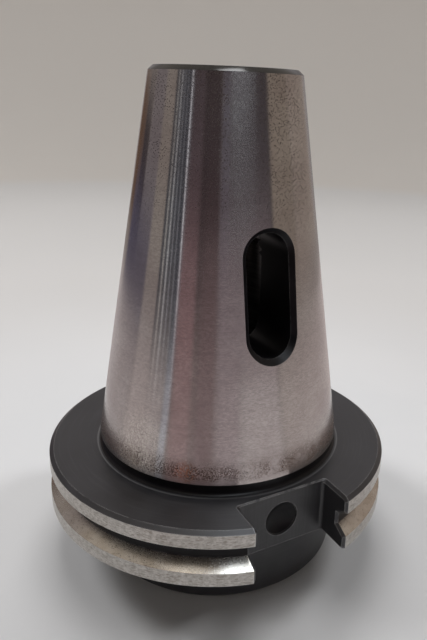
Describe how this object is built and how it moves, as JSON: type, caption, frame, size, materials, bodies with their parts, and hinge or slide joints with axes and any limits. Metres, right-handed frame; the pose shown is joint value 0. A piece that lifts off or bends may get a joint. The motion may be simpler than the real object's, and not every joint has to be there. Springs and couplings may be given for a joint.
{
  "type": "morse taper adapter",
  "caption": "Steep taper shank with a grooved drive flange, a short nose and a self-holding taper socket, crossed by a drift slot.",
  "frame": {"origin": "centre of the nose face, where the adapter stands and where the taper socket opens", "axes": "+Z along the common axis of both tapers towards the small end; the key slot with the dimple and the drift slot's nearer mouth face -Y"},
  "size_m": [0.0984, 0.0946, 0.1365],
  "materials": {
    "tool_steel": "ground bright on the shank, the two rims and the lower groove flank, black oxide on the flange faces, slots, neck and nose"
  },
  "bodies": {
    "root": {"adapter_body": "tool_steel"}
  },
  "joints": []
}
